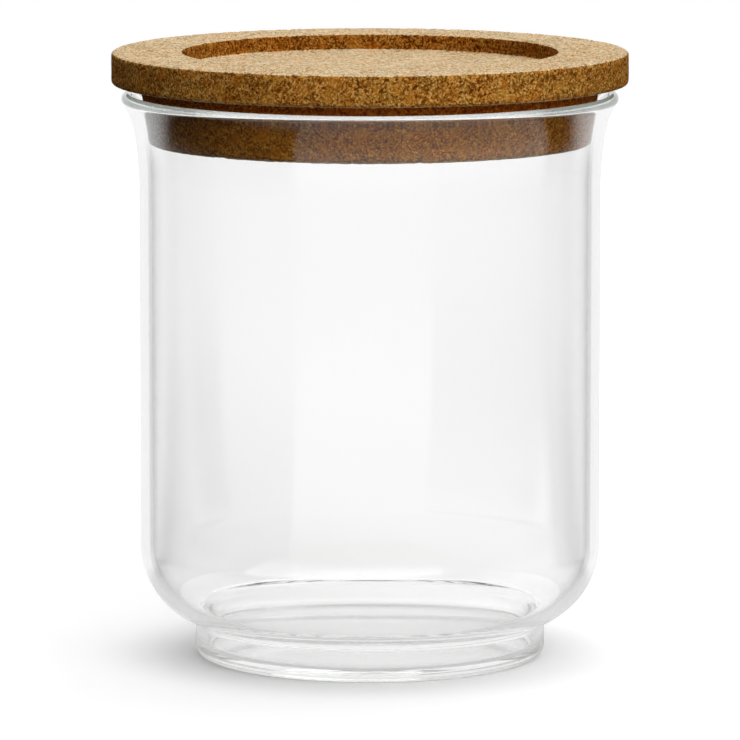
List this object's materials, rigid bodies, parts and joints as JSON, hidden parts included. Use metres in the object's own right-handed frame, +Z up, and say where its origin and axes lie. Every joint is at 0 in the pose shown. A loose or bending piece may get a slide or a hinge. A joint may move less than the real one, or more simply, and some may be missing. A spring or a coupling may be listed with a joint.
{
  "type": "glass jar with cork lid",
  "caption": "Clear blown-glass storage jar with flared mouth, rounded bowl and drawn-in foot, closed by a lift-off cork lid whose top recess seats the foot of another jar.",
  "frame": {"origin": "on the table under the middle of the glass foot", "axes": "+Z up along the jar's axis, out of its mouth; X and Y are level and alike, because the jar is round"},
  "size_m": [0.122, 0.122, 0.144],
  "materials": {
    "clear_glass": "gloss",
    "cork": "matte"
  },
  "bodies": {
    "jar": {"glass_jar": "clear_glass"},
    "lid": {"cork_lid": "cork"}
  },
  "joints": [
    {"name": "lid_lift", "type": "slide", "parent": "jar", "child": "lid", "axis": [0, 0, 1], "range_m": [0, 0.06]}
  ]
}
